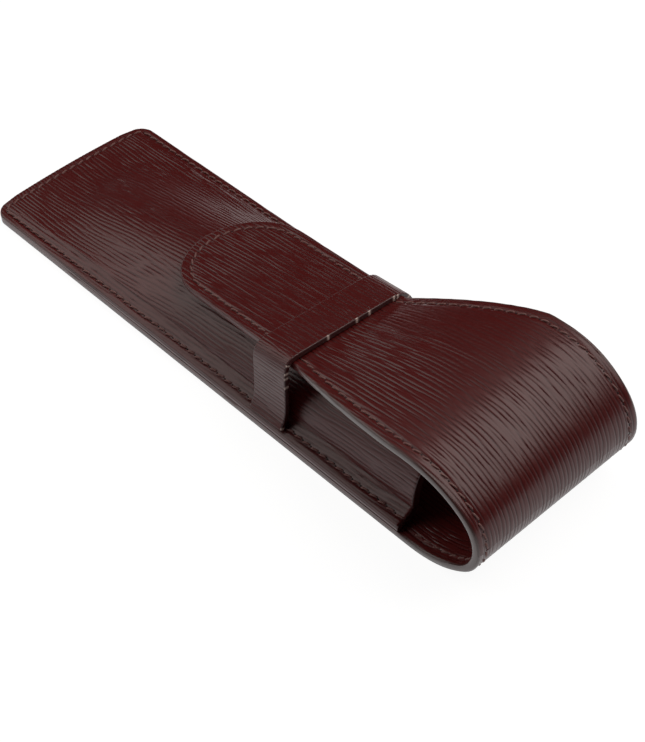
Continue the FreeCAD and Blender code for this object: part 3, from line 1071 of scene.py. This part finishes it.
def strap_skins():
    """Outer leather and lining of the strap: the section line carried along its width."""
    strap = settings("pencase_strap")
    grain = settings("pencase_grain")
    s, y, z, foot = strap_line()
    width = STRAP_RIGHT - STRAP_LEFT
    inner = STRAP_EDGE_STEPS[-1]
    middle = np.linspace(inner, width - inner, STRAP_ROWS)
    offsets = np.concatenate([STRAP_EDGE_STEPS[:-1], middle, width - STRAP_EDGE_STEPS[-2::-1]])
    slope = tongue_plane()[1]
    lift = ramp(z - foot, z.max() - foot)
    x = STRAP_LEFT + offsets[None] + 0 * s[:, None]
    tilt = slope * (x - STRAP_X) * lift[:, None]
    base = np.stack([x, y[:, None] + 0 * x, z[:, None] + tilt], -1)
    normal = facing_up(base)
    edge = np.minimum(offsets, width - offsets)[None] + 0 * x
    radius = 0.3 * strap.skin
    # Painted highlight: spots of the cut edge that take the light glint colour
    worn = painted_glints(s, offsets, width)
    made = []
    levels = (
        ("strap_leather", "outer_leather", 31, 0.0, strap.skin, 1.0),
        ("strap_inner_leather", "inner_leather", 32, strap.skin + strap.lining, strap.skin, -1.0),
    )
    for name, finish, seed, face, back, sign in levels:
        groove = grooves_at(x, s[:, None] + 0 * x, seed)
        sink = STRAP_RIBS * grain.depth * groove + rounded(edge, min(radius, abs(back - face) * 0.8))
        top = base - normal * (face + sign * sink)[..., None]
        bottom = base - normal * back
        rim = edge_paint(edge, PAINT_WIDTH * radius)
        groove = np.maximum(groove, rim)
        values = {
            "groove": np.concatenate([groove, rim]),
            "edge": np.zeros(2 * groove.size),
            "worn": np.concatenate([worn, worn]),
        }
        made.append(closed_skin(name, top, bottom, values, finish))
    return made


class PENCASE_OT_strap(bpy.types.Operator):
    """Make the strap that holds the tongue"""

    bl_idname = "pencase.strap"
    bl_label = "Strap"

    def execute(self, context):
        outer, lining = strap_skins()
        for piece, node, slot in (
            (outer, "strap_outer", "ribbed_leather"), (lining, "strap_lining", "lining_leather")):
            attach(piece, "case")
            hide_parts(node)
        return {"FINISHED"}


# The seams

def tube(rings, corners):
    """Numbers of a tube's points, ring by ring, and the quads between its rings."""
    number = np.arange(rings * corners).reshape(rings, corners)
    after = np.roll(number, -1, 1)
    return number, np.stack([number[:-1], number[1:], after[1:], after[:-1]], -1).reshape(-1, 4)


def stitch_shape():
    """One stitch: a ring of points carried along its length, thick in the middle, dipping at its ends."""
    stitch = settings("pencase_stitch")
    rings, corners = 7, 6
    blunt, dip, seat = 0.05, 1.1 * stitch.radius, 0.35 * stitch.radius
    u = np.linspace(-1, 1, rings)[:, None]
    turn = np.linspace(0, 2 * math.pi, corners + 1)[:-1]
    girth = stitch.radius * np.sqrt(np.maximum(blunt, 1 - u ** 6))
    along = stitch.length / 2 * u + 0 * turn
    side = girth * np.cos(turn)
    rise = girth * np.sin(turn) - dip * np.abs(u) ** 3 + seat
    points = np.stack([along, side, rise], -1).reshape(-1, 3)
    number, quads = tube(rings, corners)
    start = number[0][[[0, 1, 2, 3], [0, 3, 4, 5]]]
    end = number[-1][[[3, 2, 1, 0], [5, 4, 3, 0]]]
    return points, np.concatenate([quads, start, end])


def hole_shape():
    """A needle hole: a shallow dome sunk into the leather, dark as painted shade for the inside of the
    hole.
    """
    radius = settings("pencase_stitch").radius * 0.85
    height = 0.25 * radius
    rings, corners = 4, 8
    u = np.linspace(0, 0.42 * math.pi, rings)[:, None]
    turn = np.linspace(0, 2 * math.pi, corners + 1)[:-1]
    points = np.stack([
        radius * np.cos(u) * np.cos(turn), radius * np.cos(u) * np.sin(turn),
        height * np.sin(u) + 0 * turn], -1).reshape(-1, 3)
    number, quads = tube(rings, corners)
    cap = number[0][[[3, 2, 1, 0], [5, 4, 3, 0], [7, 6, 5, 0]]]
    top = number[-1][[[0, 1, 2, 3], [0, 3, 4, 5], [0, 5, 6, 7]]]
    return points, np.concatenate([quads[:, [0, 3, 2, 1]], cap, top])


def repeat_shape(shape, places, along, normal, slant):
    """Copies of a shape set on a line of places, each turned to the line and slanted about the normal."""
    points, faces = shape
    along = unit(along)
    normal = unit(normal - along * np.sum(along * normal, axis=1, keepdims=True))
    side = np.cross(normal, along)
    first = along * math.cos(slant) + side * math.sin(slant)
    second = side * math.cos(slant) - along * math.sin(slant)
    turned = (
        points[None, :, :1] * first[:, None] + points[None, :, 1:2] * second[:, None]
        + points[None, :, 2:] * normal[:, None])
    placed = (places[:, None] + turned).reshape(-1, 3)
    first_corner = len(points) * np.arange(len(places))[:, None, None]
    return placed, (faces[None] + first_corner).reshape(-1, 4)


def sewn(name, runs):
    """Thread and needle holes along several runs, each a function from length to place and normal."""
    stitch = settings("pencase_stitch")
    kinds = (
        (name, stitch_shape(), stitch.slant, 0.5, "sewing_thread"),
        # The holes are dark domes: painted shade for the inside of each needle hole
        (name + "_holes", hole_shape(), 0.0, 0.0, "needle_hole_shade"),
    )
    made = []
    for piece_name, shape, slant, offset, finish in kinds:
        points, faces, count = [], [], 0
        for length, curve in runs:
            number = max(1, int(round(length / stitch.pitch)))
            t = (np.arange(number) + offset) / number
            reach = 0.25 / number
            place, normal = curve(t)
            ahead, _ = curve(np.minimum(1, t + reach))
            behind, _ = curve(np.maximum(0, t - reach))
            placed, copies = repeat_shape(shape, place, ahead - behind, normal, slant)
            points.append(placed)
            faces.append(copies + count)
            count += len(placed)
        made.append(mesh_piece(piece_name, np.concatenate(points), np.concatenate(faces), {}, finish))
    return made


def on_strip(path, s, y, inner):
    """Places and normals of stitches on the strip's outside or inside, sunk into the drawn-in seam."""
    sunk = settings("pencase_stitch").groove_depth
    rise = -strip_skin() + sunk if inner else strip_skin() * (thinned(path, s) - 1) - sunk
    return path.points(s, y, rise), path.outward(s) * (-1.0 if inner else 1.0)


def strip_run(path, start, end, side, inner):
    """A seam along one edge of the strip, on its outside or its inside."""
    stitch = settings("pencase_stitch")

    def curve(t):
        s = start + (end - start) * t
        x = np.interp(s, path.s, path.x)
        near, far = flap_edges(x)
        upper = s > path.side
        near = np.where(upper, near, -HALF_WIDTH) + stitch.flap_inset
        far = np.where(upper, far, HALF_WIDTH) - stitch.flap_inset
        return on_strip(path, s, near if side < 0 else far, inner)

    return abs(end - start), curve


def tip_run(path, inner):
    """The seam round the tongue's tip."""
    sizes = settings("pencase_sizes")
    stitch = settings("pencase_stitch")
    radius = sizes.tip_radius - stitch.flap_inset
    stop = path.at_x(TIP_X + sizes.tip_radius)
    pitch = math.hypot(1, tongue_plane()[1])

    def curve(t):
        angle = math.pi * t
        s = stop + radius * np.sin(angle) * pitch
        y = -sizes.tip_shift - radius * np.cos(angle)
        return on_strip(path, s, y, inner)

    return math.pi * radius, curve


def flat_run(start, end, y, lift):
    """A straight seam on the seam allowance, or lifted onto the strap's foot."""
    half = settings("pencase_pocket").half

    def curve(t):
        x = start + (end - start) * t
        inset = HALF_WIDTH - abs(y)
        z = swollen(x, beside(inset, half), inset, seam_top()) + lift
        place = np.stack([x, y + 0 * x, z], -1)
        return place, np.tile((0.0, 0.0, 1.0), (len(x), 1))

    return abs(end - start), curve


def end_run():
    """The seam across the closed end, following its bow and turning into the corners."""
    sizes = settings("pencase_sizes")
    stitch = settings("pencase_stitch")
    reach = HALF_WIDTH - stitch.seam_inset
    bend = sizes.corner - stitch.seam_inset
    half = settings("pencase_pocket").half

    def curve(t):
        y = reach * (2 * t - 1)
        over = np.clip(np.abs(y) - (reach - bend), 0, bend)
        x = CLOSED_END_X + stitch.seam_inset + bend - np.sqrt(bend ** 2 - over ** 2)
        x = x + sizes.bow * (y / HALF_WIDTH) ** 2
        z = swollen(x, beside(0, half), HALF_WIDTH - np.abs(y), seam_top()) - stitch.groove_depth
        place = np.stack([x, y, z], -1)
        return place, np.tile((0.0, 0.0, 1.0), (len(y), 1))

    return 2 * reach, curve


class PENCASE_OT_seams(bpy.types.Operator):
    """Sew the side seams, the end seam and the seam round the loop, flap and tongue"""

    bl_idname = "pencase.seams"
    bl_label = "Seams"

    def execute(self, context):
        sizes = settings("pencase_sizes")
        stitch = settings("pencase_stitch")
        strap = settings("pencase_strap")
        proud = 0.6
        sunk = -(1 - proud) * stitch.groove_depth
        foot = strap.skin + strap.lining
        start = CLOSED_END_X + sizes.corner
        for side, name in ((-1, "near"), (1, "far")):
            y = side * (HALF_WIDTH - stitch.seam_inset)
            runs = [
                flat_run(start, STRAP_LEFT, y, sunk),
                flat_run(STRAP_LEFT, STRAP_RIGHT, y, foot),
                flat_run(STRAP_RIGHT, MOUTH_X, y, sunk),
            ]
            self.fix(sewn(name + "_side_seam", runs), name + "_seam_thread")
        self.fix(sewn("end_seam", [end_run()]), "end_seam_thread")
        path = StripPath()
        centre = path.at_x(TIP_X + sizes.tip_radius)
        low, high = [], []
        for side in (-1, 1):
            low.append(strip_run(path, path.side - OUTSIDE_SEAM, path.side, side, False))
            low.append(strip_run(path, path.side - INSIDE_SEAM, path.side, side, True))
            for inner in (False, True):
                high.append(strip_run(path, path.side, centre, side, inner))
        for inner in (False, True):
            high.append(tip_run(path, inner))
        thread, holes = sewn("loop_seam", low)
        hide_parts("loop_thread")
        for piece in (thread, holes):
            blend_low(path, piece)
        thread, holes = sewn("flap_seam", high)
        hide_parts("bend_thread", "flap_thread", "under_strap_thread", "tongue_thread")
        for piece in (thread, holes):
            blend_high(path, piece)
        return {"FINISHED"}

    def fix(self, pieces, node):
        """Fixes a seam's thread and needle holes to the case."""
        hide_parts(node)
        for piece in pieces:
            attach(piece, "case")


# The stage

def turned_to(*axes):
    """The turn that takes x, y and z to three axes."""
    return Matrix([list(row) for row in np.stack(axes, 1)]).to_4x4()


def look_matrix():
    """Turn of the camera: azimuth and elevation round the case, then its own roll."""
    a, e, r = CAMERA_AZIMUTH, CAMERA_ELEVATION, CAMERA_ROLL
    back = np.array([math.sin(a) * math.cos(e), -math.cos(a) * math.cos(e), math.sin(e)])
    right = np.array([math.cos(a), math.sin(a), 0.0])
    up = np.cross(back, right)
    right, up = right * math.cos(r) + up * math.sin(r), up * math.cos(r) - right * math.sin(r)
    return turned_to(right, up, back)


def soft_box(name, place, size, radiance):
    """A rectangular lamp that looks at the case and shines with an even radiance."""
    data = bpy.data.lights.new(name, "AREA")
    data.shape = "RECTANGLE"
    data.size, data.size_y = size
    data.color = LAMP_COLOUR
    data.energy = radiance * math.pi * size[0] * size[1]
    lamp = bpy.data.objects.new(name, data)
    bpy.context.scene.collection.objects.link(lamp)
    back = unit(np.array(place))
    side = unit(np.cross((0.0, 0.0, 1.0), back))
    lamp.matrix_world = Matrix.Translation(place) @ turned_to(side, np.cross(back, side), back)


def white_floor():
    """White to the camera and in reflections, with a part of its own shading so that shadows show."""
    stage = settings("pencase_stage")
    half = stage.floor / 2
    corners = [(-half, -half, 0), (half, -half, 0), (half, half, 0), (-half, half, 0)]
    mesh = bpy.data.meshes.new("floor")
    mesh.from_pydata(corners, [], [(0, 1, 2, 3)])
    material = bpy.data.materials.new("white_floor")
    tree = Tree(material)
    seen = tree.ray("Is Camera Ray") + tree.ray("Is Glossy Ray") + tree.ray("Is Transmission Ray")
    shaded = tree.node("ShaderNodeBsdfDiffuse", None, Color=FLOOR_GREY)
    glow = tree.node("ShaderNodeEmission", None, Color=WHITE, Strength=FLOOR_GLOW)
    mixed = tree.node("ShaderNodeMixShader", None, seen * FLOOR_WHITENESS, shaded, glow)
    tree.node("ShaderNodeOutputMaterial", None, Surface=mixed)
    mesh.materials.append(material)
    floor = bpy.data.objects.new("floor", mesh)
    bpy.context.scene.collection.objects.link(floor)


class PENCASE_OT_stage(bpy.types.Operator):
    """Set up the floor, the soft light and the camera"""

    bl_idname = "pencase.stage"
    bl_label = "Stage"

    def execute(self, context):
        stage = settings("pencase_stage")
        scene = context.scene
        scene.view_settings.view_transform = "Standard"
        white_floor()
        for name, place, size, part in LAMPS:
            soft_box(name, place, size, part * stage.brightness)
        world = bpy.data.worlds.new("dim_room")
        scene.world = world
        tree = Tree(world)
        room = tree.node("ShaderNodeBackground", None, Color=WHITE, Strength=stage.surround)
        white = tree.node("ShaderNodeBackground", None, Color=WHITE, Strength=1.0)
        mixed = tree.node("ShaderNodeMixShader", None, tree.ray("Is Camera Ray"), room, white)
        tree.node("ShaderNodeOutputWorld", None, Surface=mixed)
        data = bpy.data.cameras.new("camera")
        data.lens = CAMERA_LENS
        data.sensor_width = SENSOR_WIDTH
        data.clip_start = 0.01
        camera = bpy.data.objects.new("camera", data)
        scene.collection.objects.link(camera)
        camera.matrix_world = Matrix.Translation(CAMERA_PLACE) @ look_matrix()
        scene.camera = camera
        return {"FINISHED"}


class PENCASE_PT_panel(bpy.types.Panel):
    """The pen case's sizes and its pieces"""

    bl_label = "Pen case"
    bl_idname = "PENCASE_PT_panel"
    bl_space_type = "VIEW_3D"
    bl_region_type = "UI"
    bl_category = "Pen case"

    def draw(self, context):
        for operator in OPERATORS:
            self.layout.operator(operator.bl_idname)
        for name, group in SETTINGS.items():
            box = self.layout.box()
            box.label(text=group.__doc__)
            for key in group.__annotations__:
                box.prop(settings(name), key)


OPERATORS = (
    PENCASE_OT_materials,
    PENCASE_OT_strip,
    PENCASE_OT_pocket,
    PENCASE_OT_strap,
    PENCASE_OT_seams,
    PENCASE_OT_stage,
)


def register():
    """Registers the settings, the operators and the panel."""
    for group in SETTINGS.values():
        bpy.utils.register_class(group)
    for operator in OPERATORS:
        bpy.utils.register_class(operator)
    bpy.utils.register_class(PENCASE_PT_panel)
    for name, group in SETTINGS.items():
        setattr(bpy.types.Scene, name, PointerProperty(type=group))


def unregister():
    """Takes the settings, the operators and the panel away again."""
    for name in SETTINGS:
        delattr(bpy.types.Scene, name)
    bpy.utils.unregister_class(PENCASE_PT_panel)
    for operator in reversed(OPERATORS):
        bpy.utils.unregister_class(operator)
    for group in reversed(list(SETTINGS.values())):
        bpy.utils.unregister_class(group)


def main():
    """Builds the case piece by piece."""
    register()
    bpy.ops.pencase.materials()
    bpy.ops.pencase.strip()
    bpy.ops.pencase.pocket()
    bpy.ops.pencase.strap()
    bpy.ops.pencase.seams()
    bpy.ops.pencase.stage()


if __name__ == "__main__":
    main()
